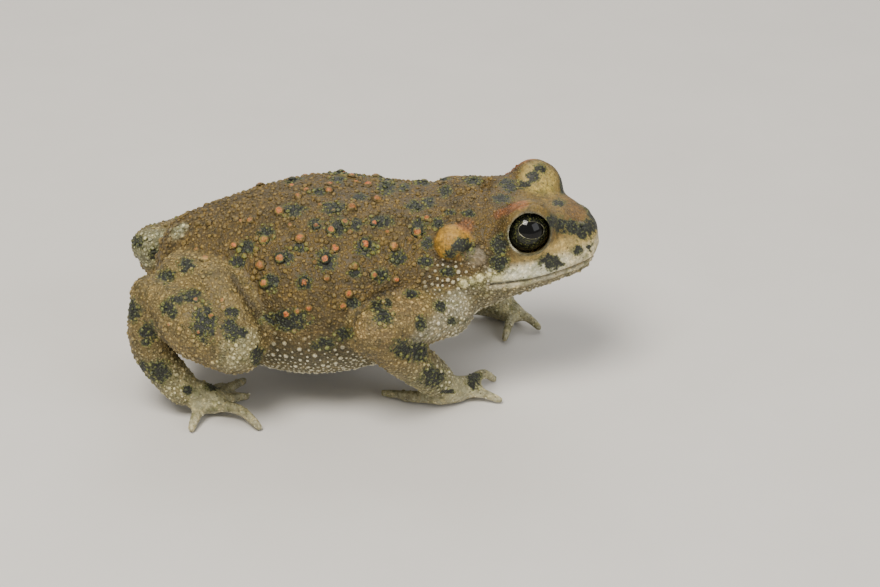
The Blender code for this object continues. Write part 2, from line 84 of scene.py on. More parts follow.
# The head, which is turned a little to the right about an upright axis through the shoulders
HEAD_TURN = math.radians(-6.5)
TURN_PIVOT_X = 6.0 * MM
TURN_REACH = 11.0 * MM  # over which the turn sets in
EYE_CENTRE = Vector((19.7, 5.2, 22.4)) * MM  # left eye with the head straight
EYE_RADIUS = 2.6 * MM
EYE_GAZE = Vector((0.22, 1.0, 0.20))  # through the middle of the lids' opening
PUPIL_GAZE = Vector((0.34, 1.0, 0.40))
LID_OPENING = 2.35 * MM
LID_RIM = 0.22 * MM
EYE_TILT = math.radians(8.0)
PUPIL_HALF_WIDTH = 0.56  # in radii of the eye
PUPIL_HALF_HEIGHT = 0.37
CORNEA_BULGE = 0.10 * MM
MOUTH_FRONT = Vector((27.6, 0.0, 17.9)) * MM
MOUTH_SLOPE = 0.11
MOUTH_CORNER_X = 15.0 * MM
MOUTH_DEPTH = 0.34 * MM
MOUTH_WIDTH = 0.17 * MM
MOUTH_WAVE = 0.10 * MM  # how far the line of the mouth dips and rises
MOUTH_WAVE_LENGTH = 2.1 * MM
UPPER_LIP_BULGE = 0.14 * MM
NOSTRIL_PIXEL = (583, 227)
NOSTRIL_RADIUS = 0.27 * MM
NOSTRIL_DEPTH = 0.42 * MM

# Marks on the toad's right side by their pixels in the photograph: place, and half width and height
DARK_BLOTCHES = (
    (294, 210, 12, 7), (334, 208, 12, 7), (338, 226, 10, 10), (381, 221, 13, 7), (366, 248, 11, 10),
    (326, 261, 11, 11), (304, 282, 8, 8), (271, 283, 9, 9), (285, 258, 9, 9), (382, 275, 8, 8),
    (398, 258, 8, 9), (419, 226, 9, 9), (437, 223, 7, 6), (387, 187, 10, 8), (445, 191, 7, 6),
    (416, 206, 11, 6), (429, 202, 7, 5), (316, 224, 7, 7), (266, 233, 9, 8), (246, 248, 9, 8),
    (285, 319, 25, 9), (323, 344, 13, 7), (344, 334, 9, 7), (238, 262, 8, 7), (352, 303, 8, 5),
    (450, 212, 6, 3), (360, 197, 8, 4), (318, 192, 8, 4), (404, 187, 6, 4), (300, 247, 7, 6),
    (355, 272, 7, 6), (427, 243, 6, 7), (425, 262, 8, 6), (448, 272, 8, 5), (356, 225, 7, 6),
    (384, 317, 10, 8), (377, 307, 7, 8), (411, 294, 8, 5), (421, 323, 7, 7), (441, 306, 8, 6),
    (403, 349, 12, 10), (417, 352, 13, 11), (433, 377, 14, 12), (474, 380, 8, 9), (452, 321, 5, 4),
    (447, 391, 8, 3), (204, 323, 13, 20), (231, 329, 9, 12), (169, 308, 9, 9), (388, 303, 5, 5),
    (166, 276, 9, 7), (190, 296, 12, 7), (258, 354, 7, 8), (133, 310, 8, 12), (147, 334, 10, 13),
    (159, 372, 13, 12), (188, 391, 6, 6), (212, 387, 9, 5), (500, 246, 9, 12), (499, 262, 9, 10),
    (551, 262, 13, 9), (578, 250, 6, 5), (462, 246, 13, 9), (450, 254, 7, 5), (540, 168, 7, 5),
    (533, 176, 7, 6), (524, 184, 8, 5), (502, 199, 10, 5), (469, 213, 8, 4), (473, 181, 9, 4),
    (559, 203, 7, 4), (552, 221, 8, 7), (561, 225, 9, 8), (571, 227, 9, 8), (581, 231, 9, 9),
    (589, 227, 7, 10), (596, 224, 4, 8), (137, 242, 7, 7), (155, 253, 9, 6), (243, 333, 5, 6),
    (186, 265, 9, 8), (167, 275, 10, 6), (176, 300, 8, 6), (172, 312, 6, 7), (232, 312, 8, 6),
    (256, 359, 6, 7), (290, 325, 18, 6), (300, 318, 8, 7), (142, 368, 7, 8),
)
BLOTCH_DEPTH = 3.4 * MM  # how far nearer or farther than its middle a blotch reaches

# Warts by their pixels: large ones, cream ones at the jaw, and smaller ones on back and limbs
LARGE_WARTS = (
    (331, 230), (417, 232), (374, 223), (365, 244), (335, 248), (325, 259), (355, 266), (327, 278),
    (304, 282), (264, 283), (280, 258), (260, 265), (234, 245), (264, 240), (349, 294), (343, 306),
    (309, 308), (286, 314), (374, 275), (396, 279), (394, 246), (352, 207), (316, 226), (205, 259),
    (279, 211), (329, 190), (250, 220), (377, 199), (427, 218), (300, 238), (345, 222), (298, 196),
)
CREAM_WARTS = ((464, 284, 0.56), (472, 282, 0.42), (480, 278, 0.58), (489, 275, 0.38))  # with radii in mm
MORE_WARTS = (
    (260, 231), (196, 250), (290, 225), (251, 220), (241, 221), (306, 190), (356, 182), (344, 176),
    (297, 311), (223, 308), (198, 332), (320, 205), (410, 240), (387, 232), (350, 232), (315, 262),
)
LIMB_WARTS = ((211, 316), (169, 324), (180, 329), (196, 300), (222, 300))
LARGE_WART_RADIUS = 0.56 * MM
WART_HEIGHT = 0.6  # of its radius

# Folds of the skin: the pixels along each, its depth and half width in mm, and whether on both sides
FOLDS = (
    (((228, 272), (240, 289), (252, 307), (260, 322), (265, 340)), 0.34, 0.50, True),
    (((137, 292), (146, 305), (155, 321), (166, 342), (177, 355)), 0.20, 0.35, True),
    (((404, 287), (384, 292), (366, 303), (355, 318), (352, 333), (358, 350)), 0.28, 0.34, True),
    (((398, 329), (410, 338), (428, 343)), 0.18, 0.35, True),
    (((432, 246), (437, 258), (447, 264), (458, 258), (466, 252), (477, 246), (488, 241)), 0.34, 0.26, True),
    (((484, 244), (489, 240), (494, 232), (503, 224)), 0.16, 0.24, False),
    (((434, 240), (438, 227), (447, 220)), 0.20, 0.30, False),
    (((507, 255), (520, 260), (535, 260), (548, 253)), 0.10, 0.18, True),
    (((500, 224), (508, 213), (519, 206), (534, 203), (546, 207)), 0.17, 0.15, True),
    (((507, 207), (517, 201), (531, 198), (545, 201)), 0.10, 0.16, True),
    (((470, 249), (484, 247), (489, 256), (484, 266), (473, 267)), 0.10, 0.20, True),
    (((420, 283), (436, 296), (452, 306)), 0.10, 0.30, True),
    (((398, 391), (396, 402)), 0.16, 0.22, False),
    (((409, 392), (407, 405)), 0.16, 0.22, False),
    (((241, 407), (236, 411)), 0.12, 0.16, True),
    (((248, 413), (243, 418)), 0.12, 0.16, True),
    (((480, 388), (477, 395)), 0.12, 0.16, True),
    (((488, 391), (484, 399)), 0.12, 0.16, True),
    (((487, 370), (482, 376)), 0.10, 0.16, False),
)
# Soft swellings: the pixel of their middle, reach in mm, how far out, and whether on both sides
SWELLINGS = (
    ((453, 240), 2.9, 0.40, False), ((464, 284), 1.1, 0.25, True), ((480, 278), 1.1, 0.25, True),
    ((477, 257), 1.2, 0.10, True), ((141, 374), 2.4, 0.40, False), ((131, 240), 2.6, 0.50, False),
    ((533, 165), 2.6, 0.36, False), ((583, 227), 1.1, 0.20, True), ((462, 182), 4.4, 0.42, False),
    ((500, 180), 3.2, 0.28, False),
)
LIMB_REACH = 0.8 * MM  # how far from a limb's solid the skin still counts to it
FOOT_REACH = 0.9 * MM
FOOT_SLIMMING = 0.09 * MM
SNOUT_PUSH = Vector((-0.38, 0.0, 0.12)) * MM

# Granules: how far apart they sit and their radius, in mm, on each part of the body
GRANULES = {
    "back": (0.56, 0.24),
    "rump": (0.62, 0.31),
    "flank": (0.74, 0.26),
    "belly": (0.54, 0.24),
    "cheek": (0.46, 0.22),
    "crown": (0.60, 0.15),
    "limb": (0.54, 0.21),
    "foot": (0.95, 0.17),
}
GRANULE_CELL = 0.8 * MM  # a granule's neighbours are looked for in the cells round its own
# Domes: the reach and height of each ring, from the foot up, for a radius and height of 1
GRANULE_SIDES = 6
GRANULE_LEVELS = ((1.0, -0.15), (0.70, 0.42), (0.38, 0.85))
WART_SIDES = 14
WART_LEVELS = ((1.15, -0.12), (0.98, 0.14), (0.80, 0.50), (0.55, 0.80), (0.28, 0.96))
COAT_LIMIT = 190000  # triangles in one piece
BAKE_PATCH = 0.0015  # half width of a dome's patch on the unwrap

# Colours, from the photograph
TAN = (0.238, 0.158, 0.036)
GREY_TAN = (0.245, 0.188, 0.076)
DARK_OLIVE = (0.110, 0.095, 0.040)
PALE_GREY = (0.450, 0.390, 0.220)
CHEST = (0.720, 0.680, 0.520)
LIMB = (0.490, 0.370, 0.145)
UPPER_ARM = (0.540, 0.370, 0.160)
GREEN_GREY = (0.710, 0.670, 0.410)
OCHRE = (0.490, 0.265, 0.026)
CROWN = (0.250, 0.158, 0.024)
PINK_BROWN = (0.235, 0.120, 0.026)
CHEEK = (0.720, 0.520, 0.175)
CREAM = (0.980, 0.950, 0.740)
FAR_LID = (0.620, 0.470, 0.130)
MAUVE = (0.270, 0.225, 0.165)
TOE_TIP = (0.930, 0.880, 0.660)
RUMP_PALE = (0.660, 0.660, 0.440)
BROW = (0.560, 0.190, 0.060)
LID_RING = (0.130, 0.125, 0.080)
LOWER_LIP = (0.700, 0.630, 0.430)
WART_CREAM = (0.800, 0.730, 0.400)
LID_PALE = (0.780, 0.760, 0.620)
NOSTRIL_EDGE = (0.25, 0.23, 0.18)
# Painted shade inside the nostrils' pits
NOSTRIL_SHADE = (0.004, 0.004, 0.004)

# Spots of colour: how strong they are, whether on both sides, and the pixel and reach in mm of each
BODY_SPOTS = (
    (RUMP_PALE, 0.85, False, (((148, 246), 3.4), ((140, 255), 2.6), ((160, 240), 2.0), ((178, 231), 1.6))),
    (CHEST, 0.8, True, (((452, 314), 3.0), ((435, 332), 2.6), ((462, 302), 2.2), ((420, 338), 1.8))),
    (UPPER_ARM, 0.6, True, (((404, 305), 3.0), ((365, 328), 2.0), ((385, 340), 1.6))),
    (GREEN_GREY, 0.6, True, (((235, 350), 2.4), ((250, 340), 2.0), ((245, 362), 2.2), ((225, 366), 2.0))),
)
HEAD_SPOTS = (
    (MAUVE, 0.8, True, (((476, 257), 1.8),)),
    (WART_CREAM, 0.9, True, (((464, 284), 1.1), ((480, 280), 1.15), ((497, 277), 1.2), ((474, 283), 1.0))),
    (BROW, 0.7, True, (((500, 213), 1.1), ((509, 208), 1.3), ((520, 204), 1.2))),
    (BROW, 0.6, True, (((465, 226), 1.4),)),
)


def select_only(*made):
    """Leaves just these objects selected, the first of them active."""
    bpy.ops.object.select_all(action="DESELECT")
    for one in made:
        one.select_set(True)
    bpy.context.view_layer.objects.active = made[0]


def add_modifier(made, kind, **settings):
    """Adds a modifier with its settings and applies it."""
    modifier = made.modifiers.new(kind.lower(), kind)
    for name, value in settings.items():
        setattr(modifier, name, value)
    select_only(made)
    bpy.ops.object.modifier_apply(modifier=modifier.name)


def add_object(name, data):
    """Adds an object with this mesh, light or camera to the scene."""
    made = bpy.data.objects.new(name, data)
    bpy.context.scene.collection.objects.link(made)
    return made


def point_tree(places):
    """A tree that finds the nearest of these places."""
    tree = KDTree(len(places))
    for index, place in enumerate(places):
        tree.insert(place, index)
    tree.balance()
    return tree


def mesh_arrays(made):
    """The places and normals of the vertices, as arrays."""
    count = len(made.data.vertices)
    places, normals = np.empty(count * 3), np.empty(count * 3)
    made.data.vertices.foreach_get("co", places)
    made.data.vertices.foreach_get("normal", normals)
    return places.reshape(-1, 3), normals.reshape(-1, 3)


def set_places(made, places):
    made.data.vertices.foreach_set("co", places.ravel())
    made.data.update()


def ramp(values, low, high):
    """A smooth step from 0 at low to 1 at high."""
    part = np.clip((values - low) / (high - low), 0, 1)
    return part * part * (3 - 2 * part)


# The toad's own frame has its head straight. The right eye's solid tells where that frame lies
right_eye = sum((Vector(corner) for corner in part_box("eye_right")), Vector()) / 2


def turn_matrix(angle):
    return Matrix.Rotation(angle, 3, "Z")


def on_side(place, side):
    """A place or direction given for the left half, on the side wanted: 1 for left, -1 for right."""
    return Vector((place.x, side * place.y, place.z))


def turned(place):
    """A place on the head, given with the head straight, moved to where the turned head has it."""
    pivot = Vector((TURN_PIVOT_X, 0, 0))
    return pivot + turn_matrix(HEAD_TURN) @ (Vector(place) - pivot)


SHIFT = right_eye - turned(on_side(EYE_CENTRE, -1))  # from the toad's own frame to the scene's


def head_place(place, side):
    """A place given for the left half of the straight head, in the scene, on the side wanted."""
    return turned(on_side(place, side)) + SHIFT


def straight_head(places):
    """The scene's places in the frame of the straight head."""
    pivot = np.array((TURN_PIVOT_X, 0, 0))
    back = np.array(turn_matrix(-HEAD_TURN))
    return (places - np.array(SHIFT) - pivot) @ back.T + pivot


camera_place = right_eye + CAMERA_FROM_EYE
camera_aim = right_eye + AIM_FROM_EYE


def camera_axes():
    """Forwards, right and up as the camera has them."""
    forward = (camera_aim - camera_place).normalized()
    right = forward.cross(Vector((0, 0, 1))).normalized()
    return forward, right, right.cross(forward)


def pixel_ray(pixel):
    """The direction from the camera through a pixel of the photograph."""
    forward, right, up = camera_axes()
    across, down = pixel[0] - PHOTO_WIDTH / 2, pixel[1] - PHOTO_HEIGHT / 2
    return (forward * FOCAL_PIXELS + right * across - up * down).normalized()


def surface(made):
    """A tree for rays and for the nearest place on an object's mesh."""
    shape = bmesh.new()
    shape.from_mesh(made.data)
    tree = BVHTree.FromBMesh(shape)
    shape.free()
    return tree


def seen_at(pixel, tree):
    """The place and normal that show at a pixel, or None past the toad's outline."""
    place, normal, _, _ = tree.ray_cast(camera_place, pixel_ray(pixel))
    return place, normal


def cast_skin():
    """One closed skin over copies of all the solids but the eyes."""
    copies = []
    for name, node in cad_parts.items():
        if name.startswith("eye"):
            continue
        copy = add_object("skin_part", node.data.copy())
        select_only(copy)
        bpy.ops.object.mode_set(mode="EDIT")
        bpy.ops.mesh.select_all(action="SELECT")
        bpy.ops.mesh.remove_doubles(threshold=1e-6)
        bpy.ops.object.mode_set(mode="OBJECT")
        add_modifier(copy, "SUBSURF", levels=1, render_levels=1)
        add_modifier(copy, "DISPLACE", strength=GROW, mid_level=0.0)
        copies.append(copy)
    select_only(*copies)
    bpy.ops.object.join()
    skin = bpy.context.view_layer.objects.active
    skin.name = "skin"
    add_modifier(skin, "REMESH", mode="VOXEL", voxel_size=SKIN_VOXEL)
    add_modifier(skin, "SMOOTH", factor=0.5, iterations=SKIN_SMOOTHING)
    add_modifier(skin, "DISPLACE", strength=-GROW, mid_level=0.0)
    add_modifier(skin, "SMOOTH", factor=0.5, iterations=2)
    for group in list(skin.vertex_groups):
        skin.vertex_groups.remove(group)
    return skin


def above_mouth(straight, unit=1.0):
    """How far vertices lie above the line of the mouth, with lengths in metres or in the unit."""
    line = MOUTH_FRONT.z / unit - MOUTH_SLOPE * (MOUTH_FRONT.x / unit - straight[:, 0])
    return straight[:, 2] - line


def from_eye(straight, side, unit=1.0):
    """The gaze through the lids, and how far vertices lie from the eye's middle along and across it."""
    gaze = np.array(on_side(EYE_GAZE, side).normalized())
    away = straight - np.array(on_side(EYE_CENTRE, side)) / unit
    along = away @ gaze
    return gaze, along, away - along[:, None] * gaze


def refine_head(skin):
    """Makes the skin's mesh finer round the eyes, the nostrils and the mouth."""
    places, _ = mesh_arrays(skin)
    tree = surface(skin)
    straight = straight_head(places)
    near = np.zeros(len(places), bool)
    for side in (1, -1):
        eye = np.array(on_side(EYE_CENTRE, side))
        near |= np.linalg.norm(straight - eye, axis=1) < EYE_RADIUS * 1.55
    for nostril in spots_at(tree, NOSTRIL_PIXEL, True):
        near |= np.linalg.norm(places - np.array(nostril), axis=1) < 0.9 * MM
    near |= (np.abs(above_mouth(straight)) < 0.7 * MM) & (straight[:, 0] > MOUTH_CORNER_X - 0.5 * MM)
    select_only(skin)
    bpy.context.tool_settings.mesh_select_mode = (True, False, False)
    skin.data.polygons.foreach_set("select", [False] * len(skin.data.polygons))
    skin.data.edges.foreach_set("select", [False] * len(skin.data.edges))
    skin.data.vertices.foreach_set("select", near)
    bpy.ops.object.mode_set(mode="EDIT")
    bpy.ops.mesh.subdivide(number_cuts=1, smoothness=0.6)
    bpy.ops.object.mode_set(mode="OBJECT")


def shape_face(skin):
    """Rims the lids, opens the nostrils and draws the line of the mouth."""
    places, normals = mesh_arrays(skin)
    straight = straight_head(places)
    gaze_turn = np.array(turn_matrix(-HEAD_TURN))
    for nostril in spots_at(surface(skin), NOSTRIL_PIXEL, True):
        far = np.linalg.norm(places - np.array(nostril), axis=1)
        pit = np.exp(-((far / NOSTRIL_RADIUS) ** 4)) * NOSTRIL_DEPTH
        places -= pit[:, None] * normals
    for side in (1, -1):
        gaze, along, radial = from_eye(straight, side)
        spread = np.linalg.norm(radial, axis=1)
        rim = np.exp(-(((spread - LID_OPENING - 0.12 * MM) / (0.20 * MM)) ** 2)) * (along > 0.4 * MM)
        above = ramp(radial[:, 2] / LID_OPENING, 0.1, 0.9)
        push = rim * LID_RIM * (0.9 - 0.5 * above)
        places += (push[:, None] * gaze) @ gaze_turn
    lip = above_mouth(straight) - MOUTH_WAVE * np.sin(straight[:, 0] / MOUTH_WAVE_LENGTH)
    front = ramp(straight[:, 0], MOUTH_CORNER_X, MOUTH_CORNER_X + 1.0 * MM)
    groove = np.exp(-((lip / MOUTH_WIDTH) ** 2)) * MOUTH_DEPTH
    upper = np.exp(-(((lip - 0.55 * MM) / (0.40 * MM)) ** 2)) * UPPER_LIP_BULGE
    places += ((upper - groove) * front)[:, None] * normals
    set_places(skin, places)


def spots_at(tree, pixel, both):
    """The place that shows at a pixel, with its mirror image on the other side if wanted."""
    place, _ = seen_at(pixel, tree)
    if place is None:
        return []
    return [place, tree.find_nearest(far_side(place))[0]] if both else [place]


def fold_line(tree, pixels, side):
    """Places a tenth of a millimetre or so apart along a fold, as it shows or on the other side."""
    line = []
    for (x0, y0), (x1, y1) in zip(pixels, pixels[1:]):
        steps = max(2, int(math.dist((x0, y0), (x1, y1))))
        for step in range(steps):
            part = step / steps
            place, _ = seen_at((x0 + (x1 - x0) * part, y0 + (y1 - y0) * part), tree)
            if place is not None:
                line.append(place if side > 0 else tree.find_nearest(far_side(place))[0])
    return line


def fold_depths(places, tree):
    """How deep each vertex lies in a fold, in metres."""
    depths = np.zeros(len(places))
    for pixels, deep, half, both in FOLDS:
        for side in (1, -1) if both else (1,):
            line = np.array(fold_line(tree, pixels, side))
            low, high = line.min(axis=0) - 3 * half * MM, line.max(axis=0) + 3 * half * MM
            near = np.flatnonzero(np.all((places > low) & (places < high), axis=1))
            gaps = np.linalg.norm(places[near, None, :] - line[None, :, :], axis=2)
            far, along = gaps.min(axis=1), gaps.argmin(axis=1) / len(line)
            taper = np.sqrt(np.clip(4 * along * (1 - along), 0, 1))
            depth = deep * MM * taper * np.exp(-((far / (half * MM)) ** 2))
            depths[near] = np.maximum(depths[near], depth)
    return depths


def shape_body(skin):
    """Raises the soft swellings, then presses in the folds."""
    tree = surface(skin)
    places, normals = mesh_arrays(skin)
    out = np.zeros(len(places))
    for pixel, reach, height, both in SWELLINGS:
        for middle in spots_at(tree, pixel, both):
            far = np.linalg.norm(places - np.array(middle), axis=1) / (reach * MM)
            out += height * MM * (1 - ramp(far, 0.15, 1.0))
    out -= fold_depths(places, tree)
    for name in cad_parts:
        if name.split("_")[0] in ("hand", "foot"):
            out -= FOOT_SLIMMING * nearness(places, name, FOOT_REACH)
    places = places + out[:, None] * normals
    front = np.array(head_place(MOUTH_FRONT, 1))
    snout = 1 - ramp(np.linalg.norm(places - front, axis=1), 0.8 * MM, 4.2 * MM)
    places += snout[:, None] * np.array(turn_matrix(HEAD_TURN) @ SNOUT_PUSH)
    places[:, 2] = np.maximum(places[:, 2], cad_box[0][2])
    set_places(skin, places)


def far_side(places):
    """The mirror image, through the toad's middle, of one place or of an array of places."""
    local = np.atleast_2d(np.array(places)) - np.array(SHIFT)
    part = np.clip((local[:, 0] - TURN_PIVOT_X) / TURN_REACH, 0, 1)
    angle = HEAD_TURN * part * part * (3 - 2 * part)
    straight = swung(local, -angle)
    straight[:, 1] *= -1
    found = swung(straight, angle) + np.array(SHIFT)
    return Vector(found[0]) if isinstance(places, Vector) else found


def swung(places, angles):
    """Places turned about the upright axis through the shoulders, each by its own angle."""
    x, y = places[:, 0] - TURN_PIVOT_X, places[:, 1]
    turned_x = x * np.cos(angles) - y * np.sin(angles) + TURN_PIVOT_X
    return np.stack([turned_x, x * np.sin(angles) + y * np.cos(angles), places[:, 2]], axis=1)


def seen_from_camera(places):
    """The pixels of places, and how far they lie from the camera."""
    forward, right, up = camera_axes()
    away = places - np.array(camera_place)
    depth = away @ np.array(forward)
    across = PHOTO_WIDTH / 2 + away @ np.array(right) / depth * FOCAL_PIXELS
    down = PHOTO_HEIGHT / 2 - away @ np.array(up) / depth * FOCAL_PIXELS
    return across, down, np.linalg.norm(away, axis=1)


def blotch_closeness(places, tree):
    """1 in the middle of a dark blotch, 0 at its edge and -1 far off, on both sides of the toad."""
    draw = random.Random(3)
    closeness = np.full(len(places), -1.0)
    for side in (1, -1):
        across, down, distance = seen_from_camera(places if side > 0 else far_side(places))
        for x, y, wide, high in DARK_BLOTCHES:
            place, _ = seen_at((x, y), tree)
            if place is None or side < 0 and (place - SHIFT).y > -2.0 * MM:
                continue
            if side < 0:
                x, y = x + draw.uniform(-7, 7), y + draw.uniform(-5, 5)
                wide, high = wide * draw.uniform(0.7, 1.2), high * draw.uniform(0.7, 1.2)
            depth = (place - camera_place).length
            near = np.abs(distance - depth) < BLOTCH_DEPTH
            one = 1 - np.hypot((across - x) / wide, (down - y) / high)
            closeness = np.where(near, np.maximum(closeness, one), closeness)
    return closeness


def wart_spots(tree):
    """The warts as (place, normal, radius, whether cream), with their like on the other side."""
    draw = random.Random(5)
    spots = []
    for pixel in LARGE_WARTS + LIMB_WARTS + MORE_WARTS:
        place, normal = seen_at(pixel, tree)
        if place is None:
            continue
        least, most = (0.75, 1.1) if pixel in LARGE_WARTS else (0.5, 0.75)
        spots.append((place, normal, LARGE_WART_RADIUS * draw.uniform(least, most), False))
        other = far_side(place) + Vector((draw.uniform(-1.2, 1.2) * MM, 0, 0))
        place, normal, _, _ = tree.find_nearest(other)
        spots.append((place, normal, LARGE_WART_RADIUS * draw.uniform(least, most), False))
    for across, down, radius in CREAM_WARTS:
        for place in spots_at(tree, (across, down), True):
            spots.append((place, tree.find_nearest(place)[1], radius * MM, True))
    return spots


def region_masks(places, normals):
    """How far each vertex belongs to each region, and its place in mm with the head straight and turned."""
    straight = straight_head(places)
    local = (places - np.array(SHIFT)) / MM
    head_x = straight[:, 0] / MM
    z = local[:, 2]
    head = ramp(head_x, 12.8, 15.0) * ramp(z, 7.0, 9.5)
    limbs = np.zeros(len(places))
    feet = np.zeros(len(places))
    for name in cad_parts:
        kind = name.split("_")[0]
        if kind in ("hand", "foot"):
            feet = np.maximum(feet, nearness(places, name, FOOT_REACH))
        elif kind in ("thigh", "shank", "tarsus", "upper", "forearm"):
            limbs = np.maximum(limbs, nearness(places, name, LIMB_REACH))
    limbs *= 1 - feet
    belly = ramp(-normals[:, 2], 0.15, 0.75) * (1 - limbs) * (1 - feet)
    flank = ramp(-z, -14.0, -7.5) * (1 - limbs) * (1 - feet)
    return {"head": head, "limb": limbs, "foot": feet, "belly": belly, "flank": flank}, straight / MM, local


def nearness(places, node_name, reach):
    """1 on a node's own surface, fading to 0 at the reach."""
    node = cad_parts[node_name]
    low, high = (np.array(corner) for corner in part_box(node_name))
    inside = np.all((places > low - reach * 2) & (places < high + reach * 2), axis=1)
    found = np.zeros(len(places))
    tree = surface(node)
    for index in np.flatnonzero(inside):
        distance = tree.find_nearest(Vector(places[index]))[3]
        found[index] = 1 - min(1.0, (distance or 0.0) / reach)
    return found


def blend_colour(colours, colour, mask):
    mask = np.clip(mask, 0, 1)[:, None]
    return colours * (1 - mask) + np.array(colour) * mask


def pixel_spot(places, tree, pixel, reach, both=True, edge=0.45):
    """1 round the place that shows at a pixel and round its mirror image, 0 from the reach in mm on."""
    place, _ = seen_at(pixel, tree)
    spot = np.zeros(len(places))
    if place is None:
        return spot
    middles = [place, far_side(place)] if both else [place]
    for middle in middles:
        far = np.linalg.norm(places - np.array(middle), axis=1) / MM
        spot = np.maximum(spot, 1 - ramp(far, reach * edge, reach))
    return spot


def tint_spots(tint, places, tree, spots):
    """Blends in the colours of a list of spots, one after another."""
    for colour, strength, both, middles in spots:
        for pixel, reach in middles:
            tint = blend_colour(tint, colour, pixel_spot(places, tree, pixel, reach, both) * strength)
    return tint


def body_tint(places, tree, masks, local, chest):
    """The colour under the markings: olive tan, pale below, grey green to the feet."""
    x, z = local[:, 0], local[:, 2]
    tint = np.tile(np.array(TAN), (len(places), 1))
    tint = blend_colour(tint, GREY_TAN, masks["flank"] * 0.9 + 0.25 * ramp(-z, -19, -12))
    low = masks["flank"] * ramp(-z, -12.5, -8.0) * (1 - masks["head"])
    tint = blend_colour(tint, DARK_OLIVE, low * 0.95)
    tint = blend_colour(tint, PALE_GREY, masks["belly"])
    tint = blend_colour(tint, LIMB, masks["limb"] * 0.85)
    tint = blend_colour(tint, CHEST, chest * ramp(x, 8.5, 11.5) * 0.9)
    tint = blend_colour(tint, GREEN_GREY, masks["limb"] * ramp(-z, -10.0, -4.0) * 0.9)
    tint = blend_colour(tint, GREEN_GREY, masks["foot"])
    tint = blend_colour(tint, TOE_TIP, masks["foot"] * ramp(-z, -2.0, -0.6) * 0.7)
    return tint_spots(tint, places, tree, BODY_SPOTS)


def head_tint(tint, places, tree, head, straight, lip, gland):
    """Brownish pink crown, pale orange cheek, cream lip, pale throat, ochre gland, and painted shade in the
    folds and along the mouth.
    """
    forward, up = straight[:, 0], straight[:, 2]
    tint = blend_colour(tint, CROWN, head * ramp(up, 21.0, 23.0) * 0.8)
    snout_top = head * ramp(forward, 22.5, 25.0) * ramp(up, 20.5, 22.5)
    tint = blend_colour(tint, PINK_BROWN, snout_top * 0.8)
    tint = blend_colour(tint, FAR_LID, pixel_spot(places, tree, (540, 178), 3.2, both=False) * 0.8)
    tint = blend_colour(tint, CHEEK, head * ramp(-up, -22.0, -20.5) * ramp(forward, 18, 21))
    stripe = head * ramp(lip, -0.1, 0.1) * (1 - ramp(lip, 1.5, 2.7)) * ramp(forward, 14.6, 16.2)
    tint = blend_colour(tint, CREAM, stripe * (1 - 0.45 * ramp(forward, 22.5, 25.5)))
    tint = blend_colour(tint, PALE_GREY, head * ramp(-lip, 0.0, 0.4))
    tint = blend_colour(tint, LOWER_LIP, head * ramp(-lip, 0.05, 0.15) * (1 - ramp(-lip, 0.5, 0.8)))
    # Painted shade along the groove of the mouth
    gape_shade = np.exp(-((lip / 0.13) ** 2)) * ramp(forward, MOUTH_CORNER_X / MM, MOUTH_CORNER_X / MM + 1)
    tint = blend_colour(tint, OCHRE, gland)
    tint = tint_spots(tint, places, tree, HEAD_SPOTS)
    for pit in spots_at(tree, NOSTRIL_PIXEL, True):
        far = np.linalg.norm(places - np.array(pit), axis=1) / NOSTRIL_RADIUS
        tint = blend_colour(tint, NOSTRIL_EDGE, 1 - ramp(far, 2.2, 3.0))
        # Near black in the pit: painted shade
        tint = blend_colour(tint, NOSTRIL_SHADE, 1 - ramp(far, 0.7, 1.2))
    # Painted shade: the skin is darkened in the folds and along the mouth's groove
    crease_shade = np.clip(fold_depths(places, tree) / (0.26 * MM), 0, 1)
    tint = tint * (1 - 0.5 * crease_shade[:, None]) * (1 - 0.75 * (gape_shade * head)[:, None])
    for side in (1, -1):
        _, along, radial = from_eye(straight, side, MM)
        ring = np.exp(-(((np.linalg.norm(radial, axis=1) - 2.40) / 0.17) ** 2)) * (along > 0)
        rear = ramp(-radial[:, 0], 0.9, 1.9) * ramp(-radial[:, 2], -1.3, -0.6)
        tint = blend_colour(tint, LID_RING, ring * 0.9)
        tint = blend_colour(tint, LID_PALE, ring * rear * 0.95)
    return tint


def paint(skin, tree):
    """The skin's attributes: tint, dark, pale, plain, tip and height, and masks for the granules.

    The ramps' limits are lengths in mm: forwards and up in the toad's own frame, or from the mouth.
    """
    places, normals = mesh_arrays(skin)
    masks, straight, local = region_masks(places, normals)
    x, z = local[:, 0], local[:, 2]
    head, lip = masks["head"], above_mouth(straight, MM)
    chest = ramp(x, 6.5, 10.5) * ramp(-z, -15.0, -11.5)
    gland = pixel_spot(places, tree, (453, 241), 2.75, edge=0.8)
    tint = body_tint(places, tree, masks, local, chest)
    tint = head_tint(tint, places, tree, head, straight, lip, gland)
    low_flank = masks["flank"] * ramp(-z, -14.5, -10.0)
    neck = pixel_spot(places, tree, (452, 282), 4.0)
    pale = np.clip(0.9 * low_flank + 0.2 * masks["belly"] + 0.4 * chest + 0.6 * neck, 0, 1)
    face_from = np.where(lip < 1.3, 15.6, 17.6)
    face = head * ramp(straight[:, 0] - face_from, 0, 1) * ramp(lip, -0.85, -0.55)
    crown = head * ramp(straight[:, 0], 12.5, 14.5) * ramp(straight[:, 2], 20.6, 21.6)
    drum = pixel_spot(places, tree, (477, 257), 1.15, edge=0.8)
    plain = np.maximum.reduce([face, gland, drum, masks["foot"] * 0.6])
    masks["plain"] = plain
    masks["crown"] = np.maximum(face, crown)
    masks["rump"] = ramp(-x, 9.0, 12.0)
    values = {"tint": tint, "dark": blotch_closeness(places, tree), "pale": pale * (1 - plain)}
    values |= {"plain": plain, "tip": np.zeros(len(places)), "height": np.zeros(len(places))}
    return values, masks


